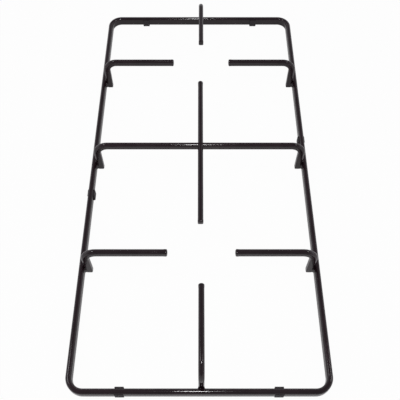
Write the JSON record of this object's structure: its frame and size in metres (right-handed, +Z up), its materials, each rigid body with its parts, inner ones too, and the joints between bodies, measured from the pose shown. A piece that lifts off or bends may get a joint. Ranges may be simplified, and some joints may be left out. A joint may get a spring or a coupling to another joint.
{
  "type": "hob pan support",
  "caption": "Black enamelled steel pan support for one side of a gas hob: a rounded ring of flat bar with bent fingers and a cross bar that hold pans over two burners, on rubber feet.",
  "frame": {"origin": "on the hob's surface, under the middle of the ring", "axes": "+Z up, +Y to the rear of the hob along the ring's long side, +X to the right"},
  "size_m": [0.2382, 0.4838, 0.0439],
  "materials": {
    "black_enamel": "gloss",
    "foot_rubber": "matte"
  },
  "bodies": {
    "root": {"ring_frame": "black_enamel", "rear_finger": "black_enamel", "front_finger": "black_enamel", "rear_left_finger": "black_enamel", "rear_right_finger": "black_enamel", "front_left_finger": "black_enamel", "front_right_finger": "black_enamel", "cross_bar": "black_enamel", "centre_bar": "black_enamel", "rear_left_foot": "foot_rubber", "rear_right_foot": "foot_rubber", "front_left_foot": "foot_rubber", "front_right_foot": "foot_rubber", "left_foot": "foot_rubber", "right_foot": "foot_rubber"}
  },
  "joints": []
}
